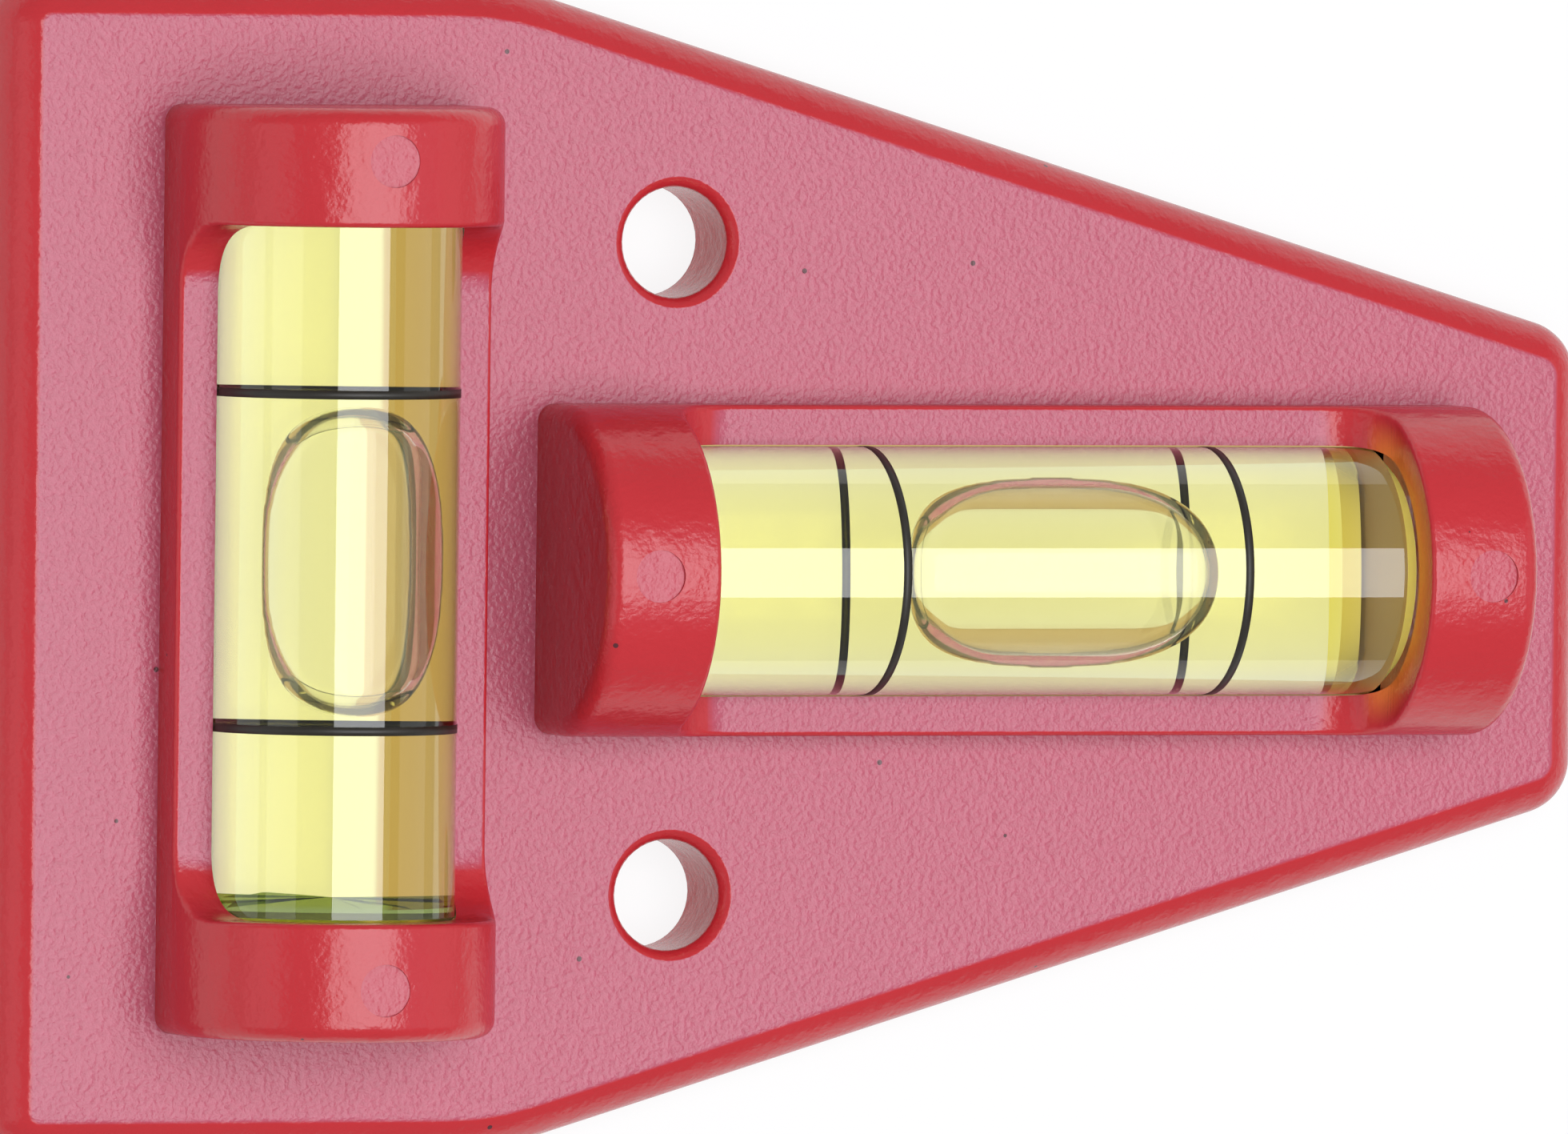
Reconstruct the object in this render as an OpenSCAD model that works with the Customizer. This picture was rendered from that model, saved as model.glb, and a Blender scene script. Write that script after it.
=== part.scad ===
// Cross bubble level: a moulded plate that carries two tubular vials at right angles.
// The origin is the middle of the base, on the surface that the level rests on.
// X runs from the wide end to the narrow end, Y runs across, and Z points up. Sizes are in millimetres.

/* [Plate] */
// Length of the plate, from the wide end to the narrow end
plate_l = 75; // [73:0.2:90]
// Width of the plate where its sides are parallel
plate_w = 51.8; // [48:0.2:64]
// Thickness of the plate, from the rim it rests on to its top
plate_t = 4.3; // [3.8:0.1:6]
// Width across the narrow end, between its sharp corners
narrow_end_w = 20.8; // [18:0.2:30]
// Length of the parallel sides
parallel_l = 23.4; // [20:0.2:34]
// Width of the plate's rounded top edge, in plan
edge_w = 1.8; // [0.5:0.05:2]
// Slope in degrees at which a rounded edge breaks away from the flat top
edge_break = 20; // [0:1:30]
// Rounding of the corners at the wide end, in plan
wide_corner_r = 2.1; // [2.05:0.05:6]
// Rounding of the bends where the slanted sides start, in plan
bend_r = 16; // [4:0.5:18]
// Rounding of the corners at the narrow end, in plan
narrow_corner_r = 2.5; // [2.05:0.05:6]

/* [Underside] */
// Thickness of the plate's roof over the hollow underside
roof_t = 2; // [1.9:0.1:3]
// Thickness of the skirt round the plate
skirt_t = 1.8; // [1.2:0.1:3]
// Thickness of the walls round the vial pockets
pocket_wall_t = 1.5; // [1:0.1:2]
// Diameter of the bosses round the screw holes
boss_d = 8.6; // [7:0.1:10]
// Thickness of the stiffening ribs
rib_t = 1.2; // [0.8:0.1:2]

/* [Screw holes] */
// Diameter of the screw holes
hole_d = 4.9; // [3:0.1:5.4]
// Distance between the screw holes
hole_spacing = 28.8; // [26:0.1:31]
// Distance of the screw holes from the wide end
hole_inset = 31.4; // [29:0.1:33]
// Width of the holes' rounded upper rims
hole_rim_w = 0.5; // [0.2:0.05:0.8]

/* [Vial blocks] */
// Width of the blocks, which is also the diameter of their round tops
block_w = 14.6; // [13.6:0.1:15.4]
// Height of the vial axes and of the window ledges above the plate
axis_rise = 2.2; // [1.2:0.1:4]
// Length of the lengthwise block
long_block_l = 44; // [40:0.1:44.6]
// Length of the crosswise block
cross_block_l = 40.8; // [39:0.1:44]
// Distance of the lengthwise block's middle from the wide end
long_block_inset = 46.9; // [46:0.1:47.5]
// Distance of the crosswise block's axis from the wide end
cross_block_inset = 14.6; // [12:0.1:15.2]
// Rounding of the blocks' corners and of the ends of their round tops
block_edge_r = 0.8; // [0.3:0.05:1.2]
// Length of the closed cap at each end of a window
cap_l = 5.2; // [4.8:0.1:6]
// Hollow rounding where a window's ledge meets its cap
window_fillet_r = 3; // [0.5:0.1:4]
// Diameter of the round mould marks on the caps
mark_d = 2.3; // [1:0.1:3]
// Depth of the mould marks below the top of the caps
mark_depth = 0.14; // [0.05:0.01:0.3]
// Distance of the mould marks from the ends of the blocks
mark_inset = 2.3; // [1.8:0.1:2.8]

/* [Vials] */
// Outer diameter of the vials
vial_d = 11; // [9.5:0.1:11.4]
// Length of the vials
vial_l = 34.3; // [33.8:0.1:35.2]
// Distance from the lengthwise block's middle to its pocket's middle, towards the narrow end
long_vial_shift = 0.7; // [0:0.1:1]
// Distance from the crosswise block's middle to its pocket's middle, towards the vial's closed end
cross_vial_shift = 0.5; // [0:0.1:0.8]
// Free space between a vial and its pocket, on each side
vial_fit = 0.05; // [0.02:0.01:0.15]
// Spare length of a pocket beyond its vial's plug end
pocket_spare_l = 1.7; // [0.2:0.1:2.5]
// Bevel at the ends of the vials
vial_bevel = 0.7; // [0.1:0.05:1]
// Thickness of a vial's closed end
closed_end_t = 1.5; // [1:0.1:2.5]
// Length of the plug in a vial's open end
plug_l = 1.8; // [1:0.1:3]
// Radius of the chamber at its ends
chamber_end_r = 4; // [3.4:0.05:4.2]
// How much wider the chamber's radius is in the middle, which makes it barrel-shaped
barrel_rise = 0.1; // [0.02:0.01:0.2]
// Distance between the middles of the lengthwise vial's marking rings
long_ring_spacing = 16.2; // [14:0.1:18]
// Distance between the middles of the crosswise vial's marking rings
cross_ring_spacing = 14.7; // [14:0.1:18]
// Width of a marking ring
ring_w = 0.38; // [0.2:0.02:0.8]
// Depth of the groove that holds a marking ring's paint
ring_depth = 0.1; // [0.05:0.01:0.2]

/* [Glue] */
// Width of the clear slot between the beads of glue under a vial
glue_slot_w = 6.2; // [5:0.1:9]
// Length of the bead at each end of a pocket
glue_end_l = 0.6; // [0.3:0.1:3]
// Height of the beads' tops below the vial's axis
glue_top_drop = 3.6; // [3:0.1:4.5]
// Free height between the beads and the surface that the level rests on
glue_base_gap = 0.3; // [0.2:0.1:0.6]

/* [Bubbles] */
// Length of the lengthwise vial's bubble
long_bubble_l = 14.6; // [10:0.1:15]
// Length of the crosswise vial's bubble
cross_bubble_l = 13.5; // [10:0.1:15]
// Width of a bubble at the liquid's level
bubble_w = 7; // [5:0.1:7.2]
// Fullness of a bubble's outline, where 1 is an ellipse and less is fuller
bubble_fullness = 0.85; // [0.6:0.05:1]
// Depth of a bubble, from its top down to the liquid's level
bubble_depth = 2.6; // [1.4:0.05:2.8]
// Film of liquid between a bubble and the chamber's wall
film_t = 0.2; // [0.15:0.01:0.4]
// Free space between a bubble and the liquid round it
bubble_gap = 0.05; // [0.02:0.01:0.08]

/* [Hidden] */
$fn = 96;

// Steps of a quarter circle in the outlines that are drawn point by point
arc_steps = 8;
// How far a cutting shape runs past the face that it cuts
cut_extra = 1;

block_r = block_w / 2;
vial_r = vial_d / 2;
pocket_r = vial_r + vial_fit;
pocket_l = vial_l + 2 * vial_fit + pocket_spare_l;
axis_z = plate_t + axis_rise;
hole_r = hole_d / 2;
closed_end_x = vial_fit - pocket_l / 2;
open_end_x = closed_end_x + vial_l;
chamber_closed_x = closed_end_x + closed_end_t;
chamber_open_x = open_end_x - plug_l;
long_block_x = long_block_inset - plate_l / 2;
cross_block_x = cross_block_inset - plate_l / 2;
hole_x = hole_inset - plate_l / 2;
liquid_level = chamber_end_r - film_t - bubble_depth;

bend_x = parallel_l - plate_l / 2;
plate_corners = [
    [-plate_l / 2, plate_w / 2], [bend_x, plate_w / 2], [plate_l / 2, narrow_end_w / 2],
    [plate_l / 2, -narrow_end_w / 2], [bend_x, -plate_w / 2], [-plate_l / 2, -plate_w / 2]
];
corner_radii = [wide_corner_r, bend_r, narrow_corner_r, narrow_corner_r, bend_r, wide_corner_r];

function unit(v) = v / norm(v);

// Centre of a circle of radius r that touches both sides of the corner at b, between a and c
function corner_centre(a, b, c, r) =
    let (u = unit(a - b), w = unit(c - b), half = acos(u * w) / 2)
    b + unit(u + w) * r / sin(half);

function arc(centre, r, from, to, steps = arc_steps) =
    [for (i = [0:steps]) let (t = from + (to - from) * i / steps) centre + r * [cos(t), sin(t)]];

// Half outline of a round bar with rounded end edges, as [radius, place along the axis]
function bar_profile(r, l, e) = concat(
    [[0, -l / 2]],
    arc([r - e, e - l / 2], e, -90, 0),
    arc([r - e, l / 2 - e], e, 0, 90),
    [[0, l / 2]]
);

function rounded_rectangle(l, w, e) = concat(
    arc([l / 2 - e, w / 2 - e], e, 0, 90),
    arc([e - l / 2, w / 2 - e], e, 90, 180),
    arc([e - l / 2, e - w / 2], e, 180, 270),
    arc([l / 2 - e, e - w / 2], e, 270, 360)
);

// Barrel-shaped wall of the chamber, from the plug to the closed end, as [radius, place along the axis]
function chamber_wall(steps = 16) = concat(
    [
        for (i = [0:steps]) let (t = 1 - 2 * i / steps)
        [chamber_end_r + barrel_rise * (1 - t * t), t * chamber_open_x]
    ],
    [[chamber_end_r, chamber_closed_x]]
);

// Turns a shape drawn round Z so that its axis lies along X and its Y side faces up
module along_x() rotate([90, 0, 90]) children();

// Places of the two blocks, with X along the block and the vial's axis at the origin
module at_long_block() translate([long_block_x, 0, axis_z]) children();
module at_cross_block() translate([cross_block_x, 0, axis_z]) rotate(-90) children();

// Places of the two vials: the origin is midway between the rings, and the plug is at the positive end
module at_long() at_long_block() translate([long_vial_shift, 0, 0]) children();
module at_cross() at_cross_block() translate([-cross_vial_shift, 0, 0]) children();

// Radius of a rounded edge that is w wide in plan and breaks away from the flat at a slope
function edge_radius(w) = w / (1 - sin(edge_break));
function edge_drop(w) = edge_radius(w) * cos(edge_break);

module rounded_disc(r) {
    edge_centre = [r - edge_radius(edge_w), plate_t - edge_drop(edge_w)];
    outline = concat(
        [[0, 0], [r, 0]],
        arc(edge_centre, edge_radius(edge_w), 0, 90 - edge_break),
        [[0, plate_t]]
    );
    rotate_extrude($fn = 64) polygon(outline);
}

module plate() {
    last = len(plate_corners) - 1;
    hull() for (i = [0:last]) {
        before = plate_corners[i == 0 ? last : i - 1];
        after = plate_corners[i == last ? 0 : i + 1];
        centre = corner_centre(before, plate_corners[i], after, corner_radii[i]);
        translate(centre) rounded_disc(corner_radii[i]);
    }
}

// Block with upright walls and a half-round top, with its vial axis at the origin
module block(l) {
    along_x() rotate_extrude(angle = 180) polygon(bar_profile(block_r, l, block_edge_r));
    translate([0, 0, -axis_rise - roof_t / 2]) linear_extrude(axis_rise + roof_t / 2)
        polygon(rounded_rectangle(l, block_w, block_edge_r));
}

// What a window takes out of a block, down to its ledges
module window_cut(l) {
    half = l / 2 - cap_l;
    f = window_fillet_r;
    steps = 20;
    outline = concat(
        arc([f - half, f], f, 180, 270, steps),
        arc([half - f, f], f, 270, 360, steps),
        [[half, block_r + cut_extra], [-half, block_r + cut_extra]]
    );
    rotate([90, 0, 0]) linear_extrude(block_w + 2 * cut_extra, center = true) polygon(outline);
}

// Pocket that a vial is pushed into from below
module pocket_cut() {
    along_x() rotate_extrude(angle = 180) translate([0, -pocket_l / 2]) square([pocket_r, pocket_l]);
    translate([-pocket_l / 2, -pocket_r, -axis_z - cut_extra])
        cube([pocket_l, 2 * pocket_r, axis_z + cut_extra]);
}

module mould_marks_cut(l) {
    for (side = [-1, 1]) translate([side * (l / 2 - mark_inset), 0, block_r - mark_depth])
        cylinder(d = mark_d, h = mark_depth + cut_extra);
}

module block_cuts(l) {
    window_cut(l);
    mould_marks_cut(l);
}

module screw_hole_cuts() {
    r = hole_rim_w / (cos(edge_break) - sin(edge_break));
    rim_centre = [hole_r + r * cos(edge_break), -r * cos(edge_break)];
    rim = concat(
        arc(rim_centre, r, 180 - edge_break, 90 + edge_break),
        [[hole_r + hole_rim_w, cut_extra], [hole_r / 2, cut_extra], [hole_r / 2, -hole_rim_w]]
    );
    for (side = [-1, 1]) translate([hole_x, side * hole_spacing / 2, 0]) {
        translate([0, 0, -cut_extra]) cylinder(r = hole_r, h = plate_t + 2 * cut_extra);
        translate([0, 0, plate_t]) rotate_extrude() polygon(rim);
    }
}

module pocket_wall() square([pocket_l + 2 * pocket_wall_t, 2 * (pocket_r + pocket_wall_t)], center = true);

// Hollow of the underside, between the skirt, the pocket walls, the screw bosses and the ribs
module underside_cut() {
    translate([0, 0, -cut_extra]) linear_extrude(plate_t - roof_t + cut_extra) difference() {
        offset(delta = -skirt_t) polygon(plate_corners);
        translate([long_block_x + long_vial_shift, 0]) pocket_wall();
        translate([cross_block_x, cross_vial_shift]) rotate(90) pocket_wall();
        for (side = [-1, 1]) translate([hole_x, side * hole_spacing / 2]) circle(d = boss_d);
        translate([hole_x, 0]) square([rib_t, plate_w], center = true);
        translate([(cross_block_x + long_block_x) / 2, 0])
            square([long_block_x - cross_block_x, rib_t], center = true);
    }
}

module housing() {
    color([0.80, 0.36, 0.42]) difference() {
        union() {
            plate();
            at_long_block() block(long_block_l);
            at_cross_block() block(cross_block_l);
        }
        at_long_block() block_cuts(long_block_l);
        at_cross_block() block_cuts(cross_block_l);
        at_long() pocket_cut();
        at_cross() pocket_cut();
        screw_hole_cuts();
        underside_cut();
    }
}

// Clear tube: closed at one end, with a barrel-shaped chamber and a groove for each marking ring
module tube(ring_spacing) {
    groove_r = vial_r - ring_depth;
    grooves = [
        for (side = [-1, 1], p = [[vial_r, -1], [groove_r, -1], [groove_r, 1], [vial_r, 1]])
        [p[0], side * ring_spacing / 2 + p[1] * ring_w / 2]
    ];
    profile = concat(
        [[0, closed_end_x], [vial_r - vial_bevel, closed_end_x], [vial_r, closed_end_x + vial_bevel]],
        grooves,
        [[vial_r, open_end_x - vial_bevel], [vial_r - vial_bevel, open_end_x], [chamber_end_r, open_end_x]],
        chamber_wall(),
        [[0, chamber_closed_x]]
    );
    color([0.93, 0.94, 0.86, 0.4]) along_x() rotate_extrude() polygon(profile);
}

// Plug that closes the open end of a tube
module plug() {
    color([0.86, 0.88, 0.72, 0.7]) along_x() translate([0, 0, chamber_open_x])
        cylinder(r = chamber_end_r, h = plug_l);
}

function fuller(v) = sign(v) * pow(abs(v), bubble_fullness);

// Bubble, pressed against the top of the chamber, or with grow above zero the space that it takes
module bubble_shape(l, grow = 0) {
    steps = 24;
    half_l = l / 2 + grow;
    half_w = bubble_w / 2 + grow;
    outline = [
        for (i = [0:steps]) let (t = -90 + 180 * i / steps)
        [half_w * fuller(cos(t)), half_l * fuller(sin(t))]
    ];
    intersection() {
        translate([0, 0, liquid_level - grow]) along_x() rotate_extrude(angle = 180) polygon(outline);
        along_x() cylinder(r = chamber_end_r - film_t + grow, h = l + 2 * cut_extra, center = true);
    }
}

module bubble(l) {
    color([0.95, 0.96, 0.85, 0.5]) bubble_shape(l);
}

module liquid(bubble_l) {
    outline = concat([[0, chamber_open_x]], chamber_wall(), [[0, chamber_closed_x]]);
    color([0.93, 0.90, 0.42, 0.8]) difference() {
        along_x() rotate_extrude() polygon(outline);
        bubble_shape(bubble_l, bubble_gap);
    }
}

// Painted marking ring, at a place along the vial's axis
module ring(x) {
    color([0.10, 0.09, 0.07]) along_x() translate([0, 0, x]) rotate_extrude()
        translate([vial_r - ring_depth, -ring_w / 2]) square([ring_depth, ring_w]);
}

// Beads of glue under a vial, against the pocket's sides and ends, with a clear slot between them
module glue() {
    bottom = glue_base_gap - axis_z;
    slot_l = pocket_l - 2 * glue_end_l;
    color([0.80, 0.66, 0.36, 0.8]) difference() {
        translate([-pocket_l / 2, -pocket_r, bottom])
            cube([pocket_l, 2 * pocket_r, -glue_top_drop - bottom]);
        translate([-slot_l / 2, -glue_slot_w / 2, bottom - cut_extra])
            cube([slot_l, glue_slot_w, axis_z]);
        along_x() cylinder(r = pocket_r, h = pocket_l + 2 * cut_extra, center = true);
    }
}

housing();
at_long() tube(long_ring_spacing);  // long_tube
at_long() plug();  // long_plug
at_long() liquid(long_bubble_l);  // long_liquid
at_long() bubble(long_bubble_l);  // long_bubble
at_long() ring(-long_ring_spacing / 2);  // long_ring_left
at_long() ring(long_ring_spacing / 2);  // long_ring_right
at_long() glue();  // long_glue
at_cross() tube(cross_ring_spacing);  // cross_tube
at_cross() plug();  // cross_plug
at_cross() liquid(cross_bubble_l);  // cross_liquid
at_cross() bubble(cross_bubble_l);  // cross_bubble
at_cross() ring(-cross_ring_spacing / 2);  // cross_ring_back
at_cross() ring(cross_ring_spacing / 2);  // cross_ring_front
at_cross() glue();  // cross_glue
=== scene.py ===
# %% [markdown]
# A cross bubble level: one red moulded plate that carries two clear vials at right angles. The solid parts come
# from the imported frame, already in place and in metres. This lesson gives them a camera, soft light, a real
# finish, and finely modelled vials, because clear pieces show every facet and every gap.

# %% Load the frame
import math

import bmesh
import bpy
from mathutils import Matrix, Vector


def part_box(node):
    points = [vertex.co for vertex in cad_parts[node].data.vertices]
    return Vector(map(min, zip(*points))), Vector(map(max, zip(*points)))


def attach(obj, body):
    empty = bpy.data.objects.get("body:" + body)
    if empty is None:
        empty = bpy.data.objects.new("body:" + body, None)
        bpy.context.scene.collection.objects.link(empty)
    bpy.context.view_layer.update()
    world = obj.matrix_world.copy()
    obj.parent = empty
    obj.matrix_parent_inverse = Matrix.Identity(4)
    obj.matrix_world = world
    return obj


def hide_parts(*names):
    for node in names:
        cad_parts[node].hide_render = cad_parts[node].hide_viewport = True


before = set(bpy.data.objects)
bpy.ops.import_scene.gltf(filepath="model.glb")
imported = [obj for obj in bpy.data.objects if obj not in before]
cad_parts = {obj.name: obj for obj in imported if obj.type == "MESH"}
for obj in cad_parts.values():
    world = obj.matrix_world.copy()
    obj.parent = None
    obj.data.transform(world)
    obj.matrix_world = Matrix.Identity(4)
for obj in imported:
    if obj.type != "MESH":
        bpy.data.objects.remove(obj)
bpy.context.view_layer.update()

MM = 0.001

# %% [markdown]
# The photograph looks down on the level from over its wide end, about 21 degrees off the vertical and from far
# away, so there is almost no perspective. A long lens far from the object gives the same flat view. The camera's
# axes are built from the view direction, with the plate's length kept level in the picture.

# %% Camera
VIEW_TILT = math.radians(21.0)
VIEW_SIDE_LEAN = 0.0325
CAMERA_DISTANCE = 1.4
PHOTO_WIDTH_PX = 1960
PHOTO_HEIGHT_PX = 1417
PX_PER_MM = 28.3
PLATE_MIDDLE_PX = (1004, 711)
PLATE_TOP = 4.3 * MM

view = Vector((-math.sin(VIEW_TILT), VIEW_SIDE_LEAN, math.cos(VIEW_TILT))).normalized()
up = Vector((0, view.z, -view.y)).normalized()
right = up.cross(view)
offset_right = (PHOTO_WIDTH_PX / 2 - PLATE_MIDDLE_PX[0]) / PX_PER_MM * MM
offset_up = (PLATE_MIDDLE_PX[1] - PHOTO_HEIGHT_PX / 2) / PX_PER_MM * MM
target = Vector((0, 0, PLATE_TOP)) + right * offset_right + up * offset_up
eye = target + view * CAMERA_DISTANCE

camera_data = bpy.data.cameras.new("camera")
camera = bpy.data.objects.new("camera", camera_data)
bpy.context.scene.collection.objects.link(camera)
camera.matrix_world = Matrix.Translation(eye) @ Matrix((right, up, view)).transposed().to_4x4()
camera_data.sensor_width = 36
camera_data.lens = camera_data.sensor_width * CAMERA_DISTANCE / (PHOTO_WIDTH_PX / PX_PER_MM * MM)
camera_data.clip_end = 10
bpy.context.scene.camera = camera
print("lens in mm:", round(camera_data.lens, 1))

# %% [markdown]
# Colours are written as the hex values a painter would pick from a screen, and one function turns them into the
# linear values that a renderer mixes. Another adds a node to a material with its settings and links in one call,
# which keeps the materials short enough to read.

# %% Colour and node helpers
def hex_colour(code, alpha=1.0):
    channels = [int(code[i : i + 2], 16) / 255 for i in (1, 3, 5)]
    linear = [c / 12.92 if c <= 0.04045 else ((c + 0.055) / 1.055) ** 2.4 for c in channels]
    return (*linear, alpha)


def add_node(tree, kind, settings=None, **links):
    """Adds a node. A link is a value, another node's output, or a node, which stands for its first live output."""
    made = tree.nodes.new(kind)
    for key, value in (settings or {}).items():
        setattr(made, key, value)
    for key, value in links.items():
        name = key.replace("_", " ")
        socket = made.inputs[int(name[2:])] if name.startswith("in") and name[2:].isdigit() else made.inputs[name]
        if isinstance(value, bpy.types.Node):
            value = next(output for output in value.outputs if output.enabled)
        if isinstance(value, bpy.types.NodeSocket):
            tree.links.new(value, socket)
        else:
            socket.default_value = value
    return made


def new_material(name):
    made = bpy.data.materials.new(name)
    made.use_nodes = True
    made.node_tree.nodes.clear()
    return made, made.node_tree


def finish_material(tree, surface, volume=None):
    out = tree.nodes.new("ShaderNodeOutputMaterial")
    tree.links.new(surface, out.inputs["Surface"])
    if volume is not None:
        tree.links.new(volume, out.inputs["Volume"])


print("helpers ready")

# %% [markdown]
# The picture was lit by one big soft box overhead, a little towards the narrow end, in a room of pale walls. A
# wide area lamp gives the haze on the flat faces and the sharp white strip along the round vials. A dim even
# world stands for the walls, and a weak lamp beyond each end fills the shadows. The weak lamps aren't seen
# through clear pieces, where they would show as bright spots.

# %% Lamps and world
def area_lamp(name, place, aim, size_x, size_y, radiance):
    """Rectangular lamp at a place, turned towards what it aims at, whose face shines with the given radiance."""
    data = bpy.data.lights.new(name, "AREA")
    data.color = hex_colour("#F7FAFF")[:3]
    data.shape = "RECTANGLE"
    data.size = size_x
    data.size_y = size_y
    data.energy = radiance * math.pi * size_x * size_y
    lamp = bpy.data.objects.new(name, data)
    bpy.context.scene.collection.objects.link(lamp)
    z = (Vector(place) - Vector(aim)).normalized()
    y = (Vector((0, 1, 0)) - z * z.y).normalized()
    lamp.matrix_world = Matrix.Translation(place) @ Matrix((y.cross(z), y, z)).transposed().to_4x4()
    return lamp


BOX_HEIGHT = 0.6
# The box's edges, as angles that the object's middle sees from the vertical
BOX_ANGLES_X = (-20, 27.5)
BOX_ANGLE_Y = 22.5
BOX_RADIANCE = 4.2
FILL_SIZE = (0.4, 0.6)
# Each fill lamp's name, place and radiance
FILLS = (("right_fill", (0.6, 0.05, 0.35), 0.5), ("left_fill", (-0.7, -0.1, 0.3), 0.7))
WALL_STRENGTH = 0.33

box_low, box_high = (BOX_HEIGHT * math.tan(math.radians(angle)) for angle in BOX_ANGLES_X)
box_width = 2 * BOX_HEIGHT * math.tan(math.radians(BOX_ANGLE_Y))
box_middle = (box_low + box_high) / 2
area_lamp(
    "soft_box", (box_middle, 0, BOX_HEIGHT), (box_middle, 0, 0), box_high - box_low, box_width, BOX_RADIANCE,
)
for name, place, radiance in FILLS:
    fill = area_lamp(name, place, (0, 0, 0), *FILL_SIZE, radiance)
    fill.visible_transmission = False

world = bpy.data.worlds.new("pale_room")
world.use_nodes = True
world.node_tree.nodes["Background"].inputs["Color"].default_value = hex_colour("#FFFFFF")
world.node_tree.nodes["Background"].inputs["Strength"].default_value = WALL_STRENGTH
bpy.context.scene.world = world
bpy.context.scene.view_settings.view_transform = "Standard"
print("soft box middle in mm:", round(box_middle / MM))

# %% [markdown]
# The floor is a sheet of white card. Seen by the camera or in a reflection, most of its white is its own, so that
# it stays even and white as in the photograph. Through the clear vials a third of it is. The rest is lit, so the
# object's shadow still shows.

# %% Floor
FLOOR_HALF_SIZE = 1.5
OWN_WHITE_DIRECT = 0.85
OWN_WHITE_THROUGH = 0.33


def make_floor(half_size):
    mesh = bpy.data.meshes.new("floor")
    signs = ((-1, -1), (1, -1), (1, 1), (-1, 1))
    mesh.from_pydata([(x * half_size, y * half_size, 0) for x, y in signs], [], [(0, 1, 2, 3)])
    floor = bpy.data.objects.new("floor", mesh)
    bpy.context.scene.collection.objects.link(floor)
    card, tree = new_material("white_card")
    path = add_node(tree, "ShaderNodeLightPath")
    direct = add_node(
        tree, "ShaderNodeMath", {"operation": "MAXIMUM"},
        in0=path.outputs["Is Camera Ray"], in1=path.outputs["Is Glossy Ray"],
    )
    direct_share = add_node(tree, "ShaderNodeMath", {"operation": "MULTIPLY"}, in0=direct, in1=OWN_WHITE_DIRECT)
    through_share = add_node(
        tree, "ShaderNodeMath", {"operation": "MULTIPLY"},
        in0=path.outputs["Is Transmission Ray"], in1=OWN_WHITE_THROUGH,
    )
    share = add_node(tree, "ShaderNodeMath", {"operation": "MAXIMUM"}, in0=direct_share, in1=through_share)
    lit = add_node(tree, "ShaderNodeBsdfDiffuse", Color=hex_colour("#F4F4F4"))
    white = add_node(tree, "ShaderNodeEmission", Color=hex_colour("#FFFFFF"), Strength=1.0)
    surface = add_node(tree, "ShaderNodeMixShader", in0=share, in1=lit, in2=white)
    finish_material(tree, surface.outputs[0])
    mesh.materials.append(card)


make_floor(FLOOR_HALF_SIZE)
print("floor ready")

# %% [markdown]
# The housing is ABS, a tough opaque plastic, injection moulded in red. The mould's flat faces were spark eroded,
# which leaves a fine grain that mirrors the lamp as a pink haze. The round tops and edges are plainer, so they
# stay a deeper red and only catch the lamp where they face it. The haze is therefore kept to faces that point
# straight up. It comes partly from the grain and partly from a painted sheen, a pinker colour on those faces.
# Small masks are worked out first, each from the object's own coordinates or normals, and one of them places
# the painted orange light that the vial throws on a cut face.

# %% Masks on the housing
VIAL_AXIS_Z = 6.5 * MM
# A pair holds where a mask begins and where it is full
FACING_UP = (0.93, 0.9995)
ABOVE_LEDGES = (6.6 * MM, 6.8 * MM)
ROUND_TOP_SHARE = 0.08
MARK_Z = 13.66 * MM
MARK_TOLERANCE = 0.03 * MM
MARK_LEVEL = 0.995
MARK_SHARE = 0.5
WINDOW_END_X = (20 * MM, 21 * MM)
FACING_BACK = (-0.7, -0.98)
GLOW_REACH = (7.2 * MM, 5.4 * MM)
SMOOTH = {"interpolation_type": "SMOOTHSTEP"}


def flat_top_mask(tree, place, facing):
    """One on the plate's top and the ledges, half on the mould marks, almost nothing elsewhere. It places the
    painted pink sheen.
    """
    upward = add_node(
        tree, "ShaderNodeMapRange", SMOOTH, Value=facing.outputs["Z"],
        From_Min=FACING_UP[0], From_Max=FACING_UP[1],
    )
    level = add_node(
        tree, "ShaderNodeMapRange", SMOOTH, Value=place.outputs["Z"],
        From_Min=ABOVE_LEDGES[0], From_Max=ABOVE_LEDGES[1], To_Min=1.0, To_Max=ROUND_TOP_SHARE,
    )
    tops = add_node(tree, "ShaderNodeMath", {"operation": "MULTIPLY"}, in0=upward, in1=level)
    mark = add_node(
        tree, "ShaderNodeMath", {"operation": "COMPARE"}, in0=place.outputs["Z"], in1=MARK_Z, in2=MARK_TOLERANCE,
    )
    level_floor = add_node(
        tree, "ShaderNodeMath", {"operation": "GREATER_THAN"}, in0=facing.outputs["Z"], in1=MARK_LEVEL,
    )
    on_floor = add_node(tree, "ShaderNodeMath", {"operation": "MULTIPLY"}, in0=mark, in1=level_floor)
    on_mark = add_node(tree, "ShaderNodeMath", {"operation": "MULTIPLY"}, in0=on_floor, in1=MARK_SHARE)
    return add_node(tree, "ShaderNodeMath", {"operation": "MAXIMUM"}, in0=tops, in1=on_mark)


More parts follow.
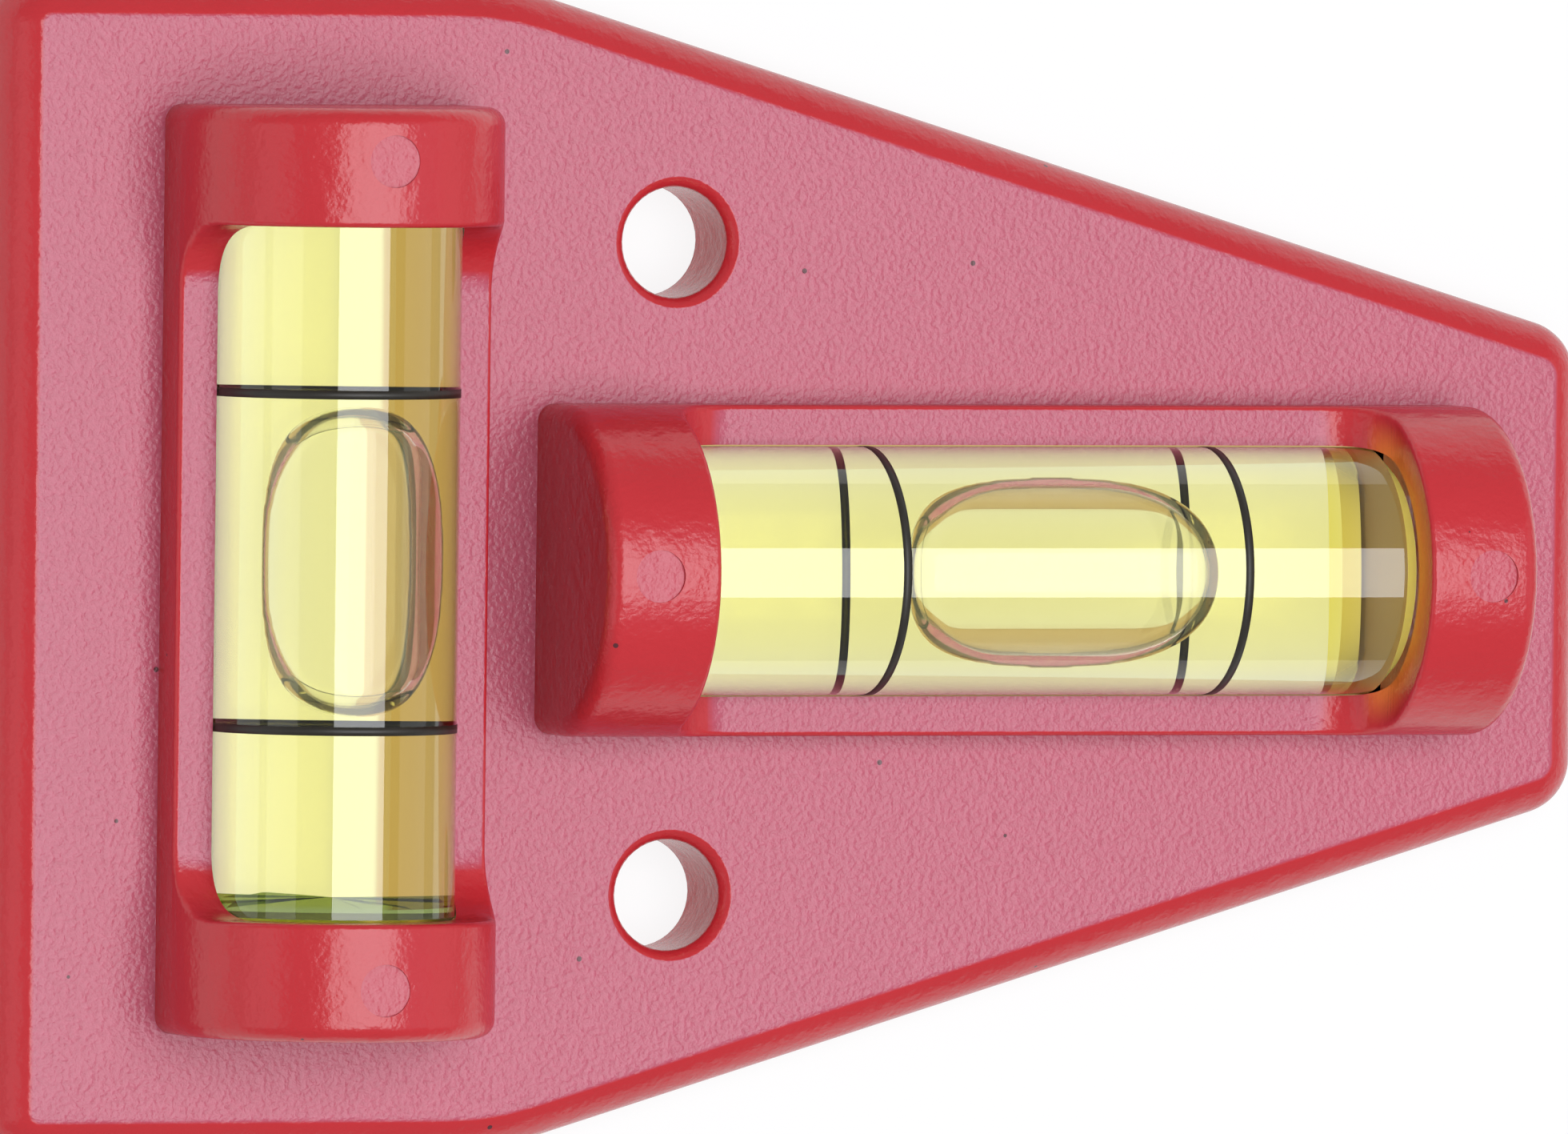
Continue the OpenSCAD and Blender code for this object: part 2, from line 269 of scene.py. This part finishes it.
def painted_vial_light_mask(tree, place, facing):
    """One on the cut face at the far end of the lengthwise window, where orange is painted for the yellow light that
    leaves the vial.
    """
    near_narrow_end = add_node(
        tree, "ShaderNodeMapRange", SMOOTH, Value=place.outputs["X"],
        From_Min=WINDOW_END_X[0], From_Max=WINDOW_END_X[1],
    )
    facing_back = add_node(
        tree, "ShaderNodeMapRange", SMOOTH, Value=facing.outputs["X"],
        From_Min=FACING_BACK[0], From_Max=FACING_BACK[1],
    )
    height = add_node(tree, "ShaderNodeMath", {"operation": "SUBTRACT"}, in0=place.outputs["Z"], in1=VIAL_AXIS_Z)
    across = add_node(tree, "ShaderNodeCombineXYZ", Y=place.outputs["Y"], Z=height)
    from_axis = add_node(tree, "ShaderNodeVectorMath", {"operation": "LENGTH"}, in0=across)
    near_vial = add_node(
        tree, "ShaderNodeMapRange", SMOOTH, Value=from_axis.outputs["Value"],
        From_Min=GLOW_REACH[0], From_Max=GLOW_REACH[1],
    )
    at_end = add_node(tree, "ShaderNodeMath", {"operation": "MULTIPLY"}, in0=near_narrow_end, in1=facing_back)
    return add_node(tree, "ShaderNodeMath", {"operation": "MULTIPLY"}, in0=at_end, in1=near_vial)


print("vial axis height in mm:", VIAL_AXIS_Z / MM)

# %% [markdown]
# Moulded ABS is never one even colour. Its grain, its orange peel, its patches of uneven pigment and its few dark
# specks could be painted on an image. Here each is a pattern on the object's own coordinates, with its scale
# worked out from a real size, because that needs no seams and stays sharp from every side.

# %% Moulded ABS
# Grain of the spark-eroded faces, which turns the lamp's image into a haze
GRAIN_SIZE = 0.25 * MM
GRAIN_DEPTH = 0.055 * MM
# Orange peel of the plainer faces, which breaks up the edges of their highlights
PEEL_SIZE = 0.9 * MM
PEEL_DEPTH = 0.06 * MM
# Patches of slightly uneven pigment
PATCH_SIZE = 6 * MM
# Dark specks of dust and burnt resin, about 0.2 mm across: their spacing, the chance that keeps one out, and
# their radius as a share of the spacing
SPECK_SPACING = 2.0 * MM
NO_SPECK_CHANCE = 0.82
SPECK_RADIUS = 0.06
ABS_IOR = 1.5


def moulded_abs():
    made, tree = new_material("moulded_red_abs")
    source = add_node(tree, "ShaderNodeTexCoord")
    spot = source.outputs["Object"]
    place = add_node(tree, "ShaderNodeSeparateXYZ", Vector=spot)
    facing = add_node(tree, "ShaderNodeSeparateXYZ", Vector=source.outputs["Normal"])
    flat = flat_top_mask(tree, place, facing)

    # The grain is half as deep on the plainer faces
    coarse = add_node(tree, "ShaderNodeTexNoise", Vector=spot, Scale=1 / GRAIN_SIZE, Detail=3.0)
    depth = add_node(tree, "ShaderNodeMapRange", Value=flat, To_Min=0.5, To_Max=1.0)
    grain = add_node(tree, "ShaderNodeMath", {"operation": "MULTIPLY"}, in0=coarse.outputs[0], in1=depth)
    peel = add_node(tree, "ShaderNodeTexNoise", Vector=spot, Scale=1 / PEEL_SIZE, Detail=2.0)
    peel_depth = add_node(tree, "ShaderNodeMapRange", Value=flat, To_Min=1.0, To_Max=0.3)
    peel_height = add_node(tree, "ShaderNodeMath", {"operation": "MULTIPLY"}, in0=peel.outputs[0], in1=peel_depth)
    soft = add_node(tree, "ShaderNodeBump", Height=peel_height, Strength=1.0, Distance=PEEL_DEPTH)
    bump = add_node(tree, "ShaderNodeBump", Height=grain, Strength=1.0, Distance=GRAIN_DEPTH, Normal=soft)

    # Painted sheen: the red turns pinker on the flat faces, standing in for the lamp's haze on their grain. Painted
    # light: it turns orange on the cut face where the vial throws light.
    cloud = add_node(tree, "ShaderNodeTexNoise", Vector=spot, Scale=1 / PATCH_SIZE, Detail=2.0)
    pigment = add_node(
        tree, "ShaderNodeMix", {"data_type": "RGBA"}, in0=cloud.outputs[0],
        in6=hex_colour("#BE2A31"), in7=hex_colour("#C62E36"),
    )
    painted_sheen = add_node(
        tree, "ShaderNodeMix", {"data_type": "RGBA"}, in0=coarse.outputs[0],
        in6=hex_colour("#AE4A5E"), in7=hex_colour("#C45C74"),
    )
    red = add_node(tree, "ShaderNodeMix", {"data_type": "RGBA"}, in0=flat, in6=pigment, in7=painted_sheen)
    painted_glow = painted_vial_light_mask(tree, place, facing)
    with_painted_glow = add_node(tree, "ShaderNodeMix", {"data_type": "RGBA"}, in0=painted_glow, in6=red, in7=hex_colour("#FF8A3C"))
    cells = add_node(tree, "ShaderNodeTexVoronoi", Vector=spot, Scale=1 / SPECK_SPACING)
    chance = add_node(tree, "ShaderNodeSeparateColor", Color=cells.outputs["Color"])
    rare = add_node(tree, "ShaderNodeMath", {"operation": "GREATER_THAN"}, in0=chance, in1=NO_SPECK_CHANCE)
    near = add_node(
        tree, "ShaderNodeMath", {"operation": "LESS_THAN"}, in0=cells.outputs["Distance"], in1=SPECK_RADIUS,
    )
    speck = add_node(tree, "ShaderNodeMath", {"operation": "MULTIPLY"}, in0=rare, in1=near)
    colour = add_node(tree, "ShaderNodeMix", {"data_type": "RGBA"}, in0=speck, in6=with_painted_glow, in7=hex_colour("#5A2A30"))

    roughness = add_node(tree, "ShaderNodeMapRange", Value=flat, To_Min=0.23, To_Max=0.28)
    abs_plastic = add_node(
        tree, "ShaderNodeBsdfPrincipled", Base_Color=colour, Roughness=roughness, Normal=bump, IOR=ABS_IOR,
    )
    finish_material(tree, abs_plastic.outputs[0])
    return made


housing_look = moulded_abs()
print("nodes in the ABS material:", len(housing_look.node_tree.nodes))

# %% [markdown]
# The frame's housing is made of loose triangles, so its rounded edges would show their facets. A merged copy with
# smooth shading replaces it. Its flat faces are joined first, and the normals are weighted by area, so that the
# flats stay flat and each soft break of an edge is shaded within the edge's own first facets.

# %% Housing
SMOOTH_LIMIT = math.radians(32)
FLAT_LIMIT = math.radians(0.05)
RIM_ANGLE = math.radians(50)
RIM_SOFTENING = 0.25 * MM
BLOCK_RADIUS = 7.3 * MM
# Each block's X, the axis that its vial runs along, and half its window's length
BLOCKS = ((9.4 * MM, 0, 16.8 * MM), (-22.9 * MM, 1, 15.2 * MM))


def on_window_rim(point):
    """Whether a point lies on the round top of a block, within the length of its window."""
    for block_x, along, half_window in BLOCKS:
        place = (point.x - block_x, point.y)
        height = point.z - VIAL_AXIS_Z
        radius = math.hypot(place[1 - along], height)
        in_window = abs(place[along]) < half_window + 0.05 * MM
        if in_window and abs(radius - BLOCK_RADIUS) < 0.03 * MM and height > -0.01 * MM:
            return True
    return False


def make_housing():
    bm = bmesh.new()
    bm.from_mesh(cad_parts["housing"].data)
    bmesh.ops.remove_doubles(bm, verts=bm.verts, dist=0.001 * MM)
    bmesh.ops.dissolve_limit(bm, angle_limit=FLAT_LIMIT, verts=bm.verts, edges=bm.edges)
    rim = [
        edge for edge in bm.edges
        if len(edge.link_faces) == 2 and edge.calc_face_angle() > RIM_ANGLE
        and all(on_window_rim(vertex.co) for vertex in edge.verts)
    ]
    print("window rim edges:", len(rim))
    bmesh.ops.bevel(bm, geom=rim, offset=RIM_SOFTENING, segments=3, profile=0.5, affect="EDGES", clamp_overlap=False)
    bm.verts.index_update()
    mesh = bpy.data.meshes.new("smooth_housing")
    mesh.from_pydata([v.co[:] for v in bm.verts], [], [[v.index for v in f.verts] for f in bm.faces])
    bm.free()
    mesh.shade_smooth()
    mesh.set_sharp_from_angle(angle=SMOOTH_LIMIT)
    mesh.materials.append(housing_look)
    piece = bpy.data.objects.new("smooth_housing", mesh)
    bpy.context.scene.collection.objects.link(piece)
    weighted = piece.modifiers.new("weighted_normals", "WEIGHTED_NORMAL")
    weighted.keep_sharp = True
    weighted.weight = 100
    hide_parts("housing")
    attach(piece, "body")
    print("housing faces:", len(mesh.polygons))


make_housing()

# %% [markdown]
# Each vial is a clear acrylic tube with liquid, a plug, an air bubble and painted rings. Light bends at a surface
# by the ratio of the two stuffs that meet there, so a surface between acrylic and liquid gets the ratio of their
# indices, not the index of either. The tube's bore carries that ratio, the liquid inside only adds its tint, and
# the bubble's skin is air against liquid. Glued faces have a ratio of one, which light doesn't notice. The tube's
# outside has a hard coat, which brightens the lamp's strip on it. Its sawn end is rough, and amber cement has
# dried over it, which shows as a brown band just inside the window. That band is partly painted shade: the
# cement's amber also stands for the shaded end of the pocket behind it.

# %% Acrylic, liquid, air and paint
ACRYLIC_IOR = 1.49
LIQUID_IOR = 1.36
GLUED = 1.0
# Glue wets the vial and the pocket, so that its faces bend light less than a face in air would
GLUE_IOR = 1.1
# Share of a bubble's skin that light passes straight, which softens the dark outline
PLAIN_SHARE = 0.15
# Depth of liquid over which its tint takes hold
TINT_DEPTH = 6.86 * MM
# Patches where the rings' paint is thinner
PAINT_PATCH_SIZE = 0.8 * MM


def clear_surface(name, ior, hard_coat=0.0, roughness=0.0, tint="#FFFFFF"):
    """Clear face, where ior is the ratio of the index inside the piece to the one outside."""
    made, tree = new_material(name)
    face = add_node(
        tree, "ShaderNodeBsdfPrincipled", Base_Color=hex_colour(tint), Roughness=roughness, IOR=ior,
        Transmission_Weight=1.0, Coat_Weight=hard_coat, Coat_Roughness=0.0,
    )
    finish_material(tree, face.outputs[0])
    return made


def tinted_liquid():
    """Liquid that takes the blue out of light on its way, so that it is yellower where it is deeper."""
    made, tree = new_material("yellow_vial_liquid")
    liquid = add_node(
        tree, "ShaderNodeBsdfPrincipled", Base_Color=hex_colour("#FFFFFF"), Roughness=0.0, IOR=GLUED,
        Transmission_Weight=1.0,
    )
    tint = add_node(tree, "ShaderNodeVolumeAbsorption", Color=hex_colour("#FCF862"), Density=1 / TINT_DEPTH)
    finish_material(tree, liquid.outputs[0], tint.outputs[0])
    return made


def trapped_air():
    """Air against liquid, whose steep sides bend light so far that they show as a dark outline."""
    made, tree = new_material("air_in_liquid")
    air = add_node(tree, "ShaderNodeBsdfGlass", Color=hex_colour("#FFFFFF"), Roughness=0.0, IOR=1 / LIQUID_IOR)
    plain = add_node(tree, "ShaderNodeBsdfTransparent", Color=hex_colour("#FFFFFF"))
    surface = add_node(tree, "ShaderNodeMixShader", in0=PLAIN_SHARE, in1=air, in2=plain)
    finish_material(tree, surface.outputs[0])
    return made


def amber_cement_and_shade():
    """Amber cement that ran over the sawn ends of a tube and its plug, and dried there. Its amber also paints the
    shade of the pocket's end that lies behind it.
    """
    made, tree = new_material("dried_amber_cement")
    cement = add_node(
        tree, "ShaderNodeBsdfPrincipled", Base_Color=hex_colour("#FFB45E"), Roughness=0.45, IOR=ACRYLIC_IOR,
        Transmission_Weight=0.2,
    )
    finish_material(tree, cement.outputs[0])
    return made


def ring_paint():
    """Nearly black paint, printed a little unevenly."""
    made, tree = new_material("dark_ring_paint")
    place = add_node(tree, "ShaderNodeTexCoord")
    patchy = add_node(
        tree, "ShaderNodeTexNoise", Vector=place.outputs["Object"], Scale=1 / PAINT_PATCH_SIZE, Detail=3.0,
    )
    colour = add_node(
        tree, "ShaderNodeMix", {"data_type": "RGBA"}, in0=patchy.outputs[0],
        in6=hex_colour("#1C1914"), in7=hex_colour("#2F2A22"),
    )
    paint = add_node(tree, "ShaderNodeBsdfPrincipled", Base_Color=colour, Roughness=0.45)
    finish_material(tree, paint.outputs[0])
    return made


cement_and_shade_look = amber_cement_and_shade()
# The faces of a tube, in order: polished outside, bore, plug seat, bevel, underside wet with glue, sawn end
tube_looks = [
    clear_surface("hard_coated_clear_acrylic", ACRYLIC_IOR, hard_coat=0.7),
    clear_surface("acrylic_bore_against_liquid", ACRYLIC_IOR / LIQUID_IOR),
    clear_surface("cemented_acrylic_face", GLUED),
    clear_surface("sawn_acrylic_end", ACRYLIC_IOR, roughness=0.45, tint="#F4DC8A"),
    clear_surface("glue_smeared_acrylic", ACRYLIC_IOR, roughness=0.2),
    cement_and_shade_look,
]
OUTSIDE, BORE, CEMENTED, SAWN, SMEARED, COVERED = range(len(tube_looks))
liquid_look = tinted_liquid()
air_look = trapped_air()
# A plug is cemented in all round, so only its tint shows: a pale yellow end, or a thin green band
plug_looks = {
    "long": clear_surface("cemented_yellow_plug", GLUED, tint="#FFF6A6"),
    "cross": clear_surface("cemented_green_plug", GLUED, tint="#93A45A"),
}
# Beads of glue beside the vials are tinted brown as painted shade: they show through the vials as brown bands
# along their sides, where the floor under the vials lies in shade.
glue_with_painted_shade = clear_surface("yellowed_clear_glue", GLUE_IOR, roughness=0.4, tint="#D9B67A")
paint_look = ring_paint()
print("clear materials ready")

# %% [markdown]
# Both vials are the same tube, and the crosswise one is turned by a quarter, so one set of sizes serves both. The
# sizes run along the vial's own axis, from midway between its rings, with the plug at the far end. Each vial's
# place is read from its solid in the frame, which keeps it in its pocket.

# %% Vial sizes
TUBE_RADIUS = 5.49 * MM
CLOSED_END_X = -18 * MM
OPEN_END_X = 16.3 * MM
TUBE_BEVEL = 0.7 * MM
CHAMBER_CLOSED_X = -16.5 * MM
# The liquid reaches further at the crosswise plug, because only a thin band of that plug shows
CHAMBER_OPEN_X = {"long": 14.5 * MM, "cross": 15.2 * MM}
CHAMBER_END_RADIUS = 4.0 * MM
BARREL_RISE = 0.1 * MM
END_ROUNDING = 0.7 * MM
# Clear pieces overlap by this much, so that no film of air shows between them
OVERLAP = 0.02 * MM
# Green cement at the crosswise plug: how far it creeps into the liquid, and its waves, as turns and height
CEMENT_RISE = 0.25 * MM
CEMENT_WAVES = ((3, 0.18 * MM), (11, 0.1 * MM), (23, 0.05 * MM))
# Glue has smeared the tube below this height from its axis
SMEAR_TOP = -2.5 * MM
LATHE_STEPS = 160


def vial_place(name):
    """Point midway between a vial's rings, and what turns its frame (axis X, plug at +X) into the part's."""
    low, high = (Vector(corner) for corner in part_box(name + "_tube"))
    turn = Matrix.Identity(3) if name == "long" else Matrix.Rotation(math.radians(-90), 3, "Z")
    return (low + high) / 2 - turn @ Vector(((CLOSED_END_X + OPEN_END_X) / 2, 0, 0)), turn


for name in ("long", "cross"):
    print(name, "vial place in mm:", [round(v / MM, 2) for v in vial_place(name)[0]])

# %% [markdown]
# A lathe turns an outline round an axis. The outline is a list of places along the axis with a radius each, and
# an end on the axis closes with a fan of triangles. The piece is moved to its place in its mesh, so that its
# object stays at the origin like the frame's own objects.

# %% Lathe
def lathe(name, outline, place, look):
    middle, turn = place
    bm = bmesh.new()
    rings = []
    for x, r in outline:
        count = LATHE_STEPS if r > 0 else 1
        angles = [2 * math.pi * i / LATHE_STEPS for i in range(count)]
        rings.append([bm.verts.new(middle + turn @ Vector((x, r * math.cos(a), r * math.sin(a)))) for a in angles])
    for one, two in zip(rings, rings[1:]):
        for i in range(LATHE_STEPS):
            j = (i + 1) % LATHE_STEPS
            corners = [one[i % len(one)], one[j % len(one)], two[j % len(two)], two[i % len(two)]]
            face = list(dict.fromkeys(corners))
            if len(face) > 2:
                bm.faces.new(face)
    bmesh.ops.recalc_face_normals(bm, faces=bm.faces)
    mesh = bpy.data.meshes.new(name)
    bm.to_mesh(mesh)
    bm.free()
    mesh.shade_smooth()
    mesh.set_sharp_from_angle(angle=math.radians(30))
    mesh.materials.append(look)
    piece = bpy.data.objects.new(name, mesh)
    bpy.context.scene.collection.objects.link(piece)
    return piece


def chamber_outline(open_end_x, grow, rounding, steps=32):
    """Barrel-shaped wall of the chamber from its closed end to its plug end, grown by a little."""
    start = CHAMBER_CLOSED_X - grow
    radius = CHAMBER_END_RADIUS + grow
    points = [(start, 0.0)]
    for i in range(7):
        a = math.radians(90 * i / 6)
        points.append((start + rounding - rounding * math.cos(a), radius - rounding + rounding * math.sin(a)))
    for i in range(steps + 1):
        t = -1 + 2 * i / steps
        points.append((t * (open_end_x + grow), radius + BARREL_RISE * (1 - t * t)))
    return points


print("points in the chamber's outline:", len(chamber_outline(CHAMBER_OPEN_X["long"], 0, END_ROUNDING)))

# %% [markdown]
# A real vial is filled through its open end and closed with a plug. One glass material for the whole tube would be
# simpler, but it would bend light at faces that are wet or glued, where the real tube hardly does. So each face
# gets the look of what it touches, picked by where it lies. Green cement has crept unevenly into the liquid at the
# crosswise plug, so that plug's face is pushed out in low waves.

# %% Tubes, plugs and liquid
def make_vial(name):
    """A tube with a look for each kind of face, the liquid in it, and its plug, with cement round both."""
    place = vial_place(name)
    chamber_open_x = CHAMBER_OPEN_X[name]
    tube_outline = [
        (CLOSED_END_X, 0), (CLOSED_END_X, TUBE_RADIUS - TUBE_BEVEL), (CLOSED_END_X + TUBE_BEVEL, TUBE_RADIUS),
        (OPEN_END_X - TUBE_BEVEL, TUBE_RADIUS), (OPEN_END_X, TUBE_RADIUS - TUBE_BEVEL),
        (OPEN_END_X, CHAMBER_END_RADIUS),
        *reversed(chamber_outline(chamber_open_x, 0, END_ROUNDING)),
    ]
    tube = lathe(name + "_vial_tube", tube_outline, place, tube_looks[OUTSIDE])
    for look in tube_looks[1:]:
        tube.data.materials.append(look)
    middle, turn = place
    for face in tube.data.polygons:
        local = turn.inverted() @ (face.center - middle)
        in_bore = math.hypot(local.y, local.z) < CHAMBER_END_RADIUS + 2 * BARREL_RISE
        if in_bore and local.x > CHAMBER_CLOSED_X - OVERLAP:
            face.material_index = BORE if local.x < chamber_open_x else CEMENTED
        elif local.x > OPEN_END_X - TUBE_BEVEL:
            face.material_index = COVERED if local.x > OPEN_END_X - OVERLAP else SAWN
        elif local.z < SMEAR_TOP:
            face.material_index = SMEARED
    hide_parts(name + "_tube")
    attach(tube, "body")
    liquid_outline = chamber_outline(chamber_open_x, OVERLAP, END_ROUNDING) + [(chamber_open_x + OVERLAP, 0)]
    liquid = lathe(name + "_vial_liquid", liquid_outline, place, liquid_look)
    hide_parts(name + "_liquid")
    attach(liquid, "body")
    r = CHAMBER_END_RADIUS + OVERLAP
    start = chamber_open_x + 2 * OVERLAP
    plug_outline = [(start, 0), (start, r), (OPEN_END_X - OVERLAP, r), (OPEN_END_X - OVERLAP, 0)]
    plug = lathe(name + "_vial_plug", plug_outline, place, plug_looks[name])
    plug.data.materials.append(cement_and_shade_look)
    for face in plug.data.polygons:
        local = turn.inverted() @ (face.center - middle)
        face.material_index = 1 if local.x > OPEN_END_X - 2 * OVERLAP else 0
    if name == "cross":
        for vertex in plug.data.vertices:
            local = turn.inverted() @ (vertex.co - middle)
            if local.x < start + OVERLAP:
                around = math.atan2(local.z, local.y)
                wave = sum(size * math.sin(turns * around + 0.8) for turns, size in CEMENT_WAVES)
                vertex.co -= turn @ Vector((CEMENT_RISE + wave, 0, 0))
    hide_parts(name + "_plug")
    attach(plug, "body")


for name in ("long", "cross"):
    make_vial(name)
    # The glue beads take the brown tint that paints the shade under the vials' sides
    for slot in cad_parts[name + "_glue"].material_slots:
        slot.material = glue_with_painted_shade

# %% [markdown]
# A bubble is air held against the top of the chamber. Its top follows the chamber's wall, its underside is the
# nearly flat surface of the liquid, and surface tension rounds the edge between them. The frame's solid has a
# sharp edge and long sloping ends. A copy is stretched a little towards its top and its sides, which makes the
# ends steep and full, and then remeshed into small even faces and smoothed, which rounds the edge.

# %% Bubbles
FOOT_LENGTH_SHARE = 0.93
END_STEEPNESS = 0.27
END_FULLNESS = 0.2
VOXEL_SIZE = 0.12 * MM
SMOOTH_ROUNDS = 24


def make_bubble(name):
    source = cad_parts[name + "_bubble"]
    work = bpy.data.objects.new("work", source.data.copy())
    bpy.context.scene.collection.objects.link(work)
    low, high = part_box(name + "_bubble")
    along = 0 if name == "long" else 1
    across = 1 - along
    middle = (Vector(low) + Vector(high)) / 2
    half_width = (high[across] - low[across]) / 2
    for vertex in work.data.vertices:
        rise = (vertex.co.z - low[2]) / (high[2] - low[2])
        aside = (vertex.co[across] - middle[across]) / half_width
        stretch = FOOT_LENGTH_SHARE * (1 + END_STEEPNESS * rise) * (1 + END_FULLNESS * aside * aside)
        vertex.co[along] = middle[along] + (vertex.co[along] - middle[along]) * stretch
    remesh = work.modifiers.new("even_faces", "REMESH")
    remesh.mode = "VOXEL"
    remesh.voxel_size = VOXEL_SIZE
    smooth = work.modifiers.new("rounded_edge", "SMOOTH")
    smooth.factor = 0.5
    smooth.iterations = SMOOTH_ROUNDS
    mesh = bpy.data.meshes.new_from_object(work.evaluated_get(bpy.context.evaluated_depsgraph_get()))
    bpy.data.objects.remove(work)
    mesh.name = name + "_air"
    mesh.shade_smooth()
    mesh.materials.clear()
    mesh.materials.append(air_look)
    piece = bpy.data.objects.new(name + "_air", mesh)
    bpy.context.scene.collection.objects.link(piece)
    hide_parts(name + "_bubble")
    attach(piece, name + "_bubble")
    print(name, "bubble faces:", len(mesh.polygons))


for name in ("long", "cross"):
    make_bubble(name)

# %% [markdown]
# The two marking rings of a vial are alike and a set distance apart, which is work for Geometry Nodes. The tree
# draws a circle, sweeps a thin rectangle of paint round it, and puts a copy at each point of a short line.
# Its inputs are the ring's radius, the width of the line and the spacing.

# %% Ring tree
RING_RADIUS = 5.46 * MM
RING_THICKNESS = 0.09 * MM
RING_WIDTH = 0.38 * MM
RING_SPACING = {"long": 16.2 * MM, "cross": 14.7 * MM}


def ring_tree():
    tree = bpy.data.node_groups.new("marking_rings", "GeometryNodeTree")
    for key in ("Radius", "Width", "Thickness", "Spacing"):
        tree.interface.new_socket(key, in_out="INPUT", socket_type="NodeSocketFloat")
    tree.interface.new_socket("Paint", in_out="INPUT", socket_type="NodeSocketMaterial")
    tree.interface.new_socket("Geometry", in_out="OUTPUT", socket_type="NodeSocketGeometry")
    given = add_node(tree, "NodeGroupInput")
    path = add_node(tree, "GeometryNodeCurvePrimitiveCircle", Resolution=192, Radius=given.outputs["Radius"])
    line = add_node(
        tree, "GeometryNodeCurvePrimitiveQuadrilateral", Width=given.outputs["Thickness"],
        Height=given.outputs["Width"],
    )
    ring = add_node(tree, "GeometryNodeCurveToMesh", Curve=path.outputs[0])
    tree.links.new(line.outputs[0], ring.inputs["Profile Curve"])
    turned = add_node(tree, "GeometryNodeTransform", Geometry=ring.outputs[0], Rotation=(0, math.pi / 2, 0))
    half = add_node(tree, "ShaderNodeMath", {"operation": "MULTIPLY"}, in0=given.outputs["Spacing"], in1=-0.5)
    start = add_node(tree, "ShaderNodeCombineXYZ", X=half.outputs[0])
    step = add_node(tree, "ShaderNodeCombineXYZ", X=given.outputs["Spacing"])
    places = add_node(tree, "GeometryNodeMeshLine", Count=2, Start_Location=start.outputs[0], Offset=step.outputs[0])
    copies = add_node(tree, "GeometryNodeInstanceOnPoints", Points=places.outputs[0], Instance=turned.outputs[0])
    real = add_node(tree, "GeometryNodeRealizeInstances", Geometry=copies.outputs[0])
    painted = add_node(tree, "GeometryNodeSetMaterial", Geometry=real.outputs[0], Material=given.outputs["Paint"])
    out = tree.nodes.new("NodeGroupOutput")
    tree.links.new(painted.outputs[0], out.inputs["Geometry"])
    return tree


rings_group = ring_tree()
print("ring inputs:", [item.name for item in rings_group.interface.items_tree if item.in_out == "INPUT"])

# %% [markdown]
# The rings are narrow lines of dark paint in shallow grooves. The tree runs once for each vial, with that vial's
# spacing, and its result is taken as a plain mesh, turned and moved to the vial, and made one piece.

# %% Rings
def make_rings(name, nodes):
    """One piece with both rings of a vial, which replaces their two nodes."""
    middle, turn = vial_place(name)
    work = bpy.data.objects.new("work", bpy.data.meshes.new("work"))
    bpy.context.scene.collection.objects.link(work)
    modifier = work.modifiers.new("marking_rings", "NODES")
    modifier.node_group = rings_group
    inputs = {
        "Radius": RING_RADIUS, "Width": RING_WIDTH, "Thickness": RING_THICKNESS,
        "Spacing": RING_SPACING[name], "Paint": paint_look,
    }
    for item in rings_group.interface.items_tree:
        if item.in_out == "INPUT":
            modifier[item.identifier] = inputs[item.name]
    mesh = bpy.data.meshes.new_from_object(work.evaluated_get(bpy.context.evaluated_depsgraph_get()))
    bpy.data.objects.remove(work)
    mesh.transform(Matrix.Translation(middle) @ turn.to_4x4())
    bm = bmesh.new()
    bm.from_mesh(mesh)
    bmesh.ops.recalc_face_normals(bm, faces=bm.faces)
    bm.to_mesh(mesh)
    bm.free()
    mesh.materials.clear()
    mesh.materials.append(paint_look)
    mesh.polygons.foreach_set("material_index", [0] * len(mesh.polygons))
    mesh.name = name + "_vial_rings"
    piece = bpy.data.objects.new(name + "_vial_rings", mesh)
    bpy.context.scene.collection.objects.link(piece)
    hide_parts(*nodes)
    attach(piece, "body")
    print(name, "ring faces:", len(mesh.polygons), "looks:", [m.name for m in mesh.materials])


make_rings("long", ["long_ring_left", "long_ring_right"])
make_rings("cross", ["cross_ring_back", "cross_ring_front"])
